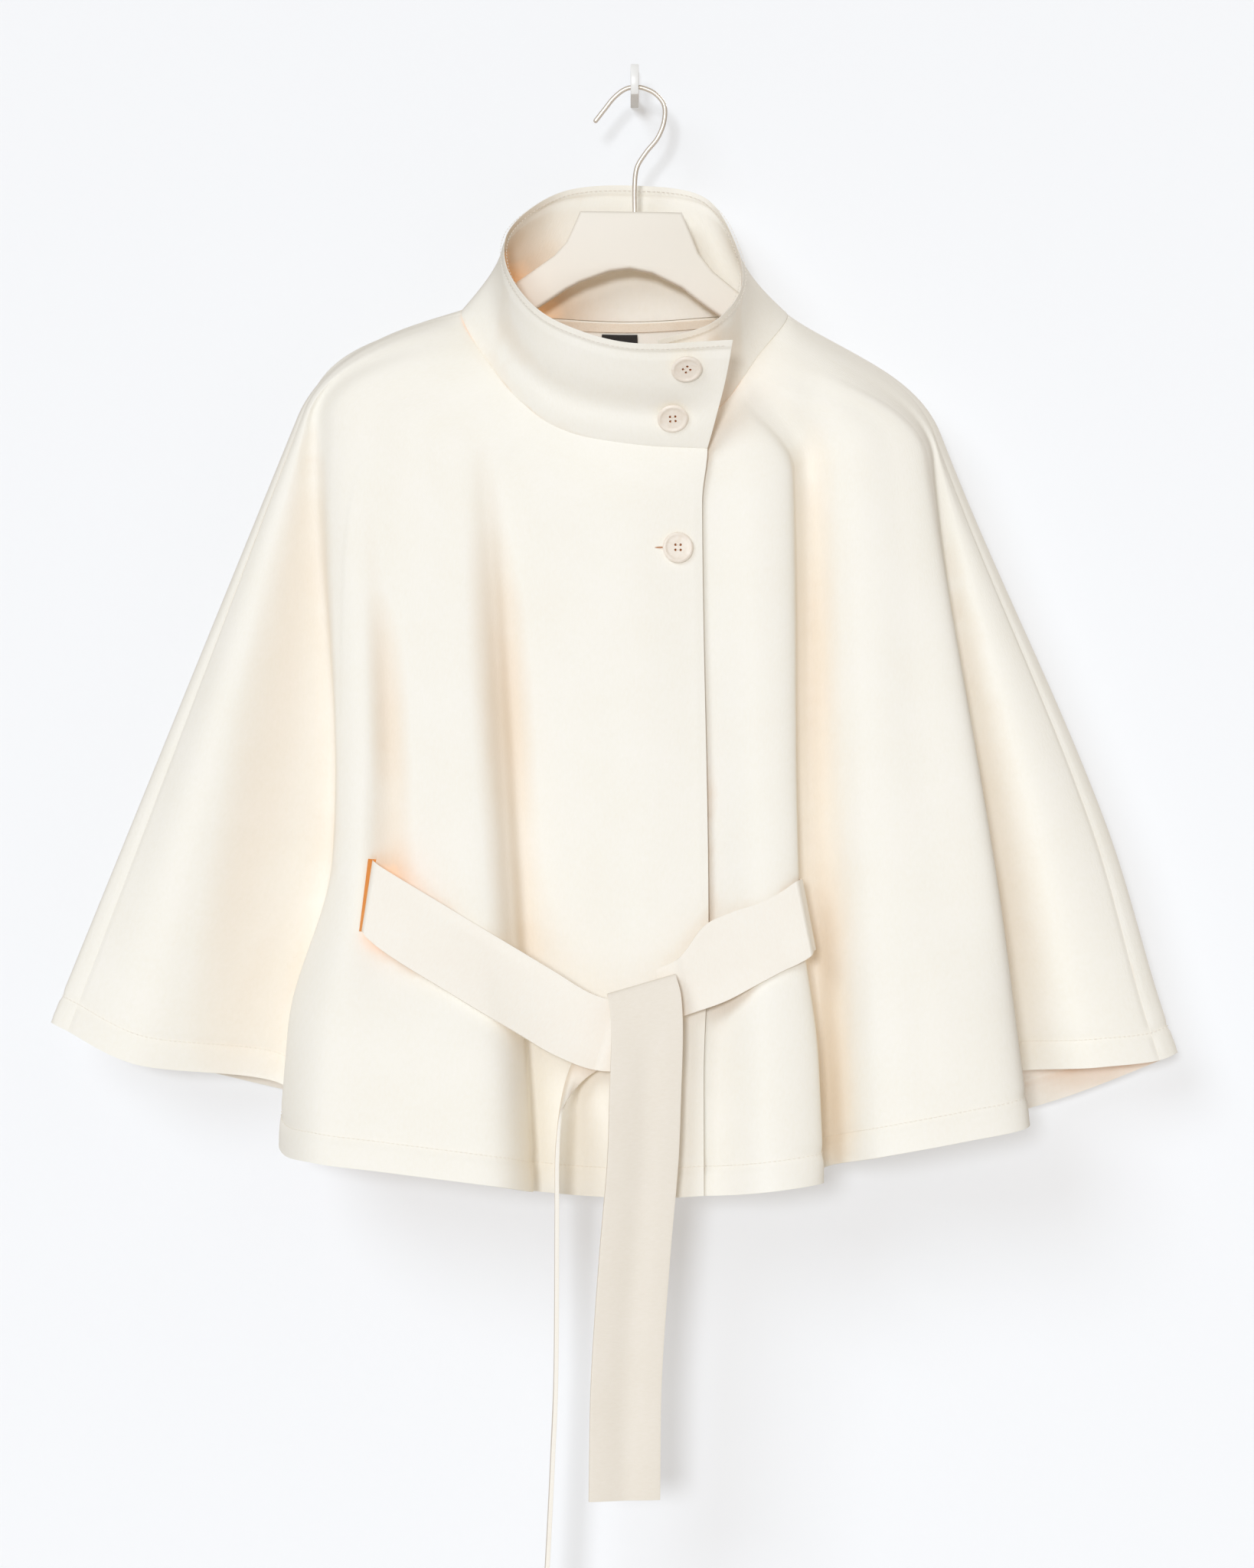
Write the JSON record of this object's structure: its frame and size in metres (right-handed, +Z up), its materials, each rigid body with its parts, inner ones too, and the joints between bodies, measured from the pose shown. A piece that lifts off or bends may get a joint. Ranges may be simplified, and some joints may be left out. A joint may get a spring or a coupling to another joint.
{
  "type": "cape on a hanger",
  "caption": "Hip-length wool cape with a funnel collar, buttoned front and a tied belt through slits, on a moulded hanger that hangs from a small wall hook.",
  "frame": {"origin": "on the wall's surface, level with the bend of the hanger's hook and behind it, where the wall hook holds the hanger", "axes": "+Z up, the garment faces -Y with the wall at Y = 0, +X to the right of a viewer who faces the garment"},
  "size_m": [0.8554, 0.1758, 1.1521],
  "materials": {
    "cream_wool": "brushed melton",
    "neck_tape": "flat woven tape",
    "dark_label": "woven satin",
    "cream_button": "cast polyester, soft gloss",
    "cream_hanger": "moulded, fine matt",
    "hook_wire": "drawn wire, satin",
    "white_hook": "white enamel"
  },
  "bodies": {
    "root": {"right_front": "cream_wool", "left_front": "cream_wool", "back": "cream_wool", "collar": "cream_wool", "belt_run_right": "cream_wool", "belt_run_left": "cream_wool", "belt_inside": "cream_wool", "belt_knot": "cream_wool", "belt_tail_wide": "cream_wool", "belt_tail_narrow": "cream_wool", "neck_tape": "neck_tape", "neck_label": "dark_label", "button_collar_top": "cream_button", "button_collar_low": "cream_button", "button_front": "cream_button", "hanger": "cream_hanger", "hanger_hook": "hook_wire", "wall_hook": "white_hook"}
  },
  "joints": []
}
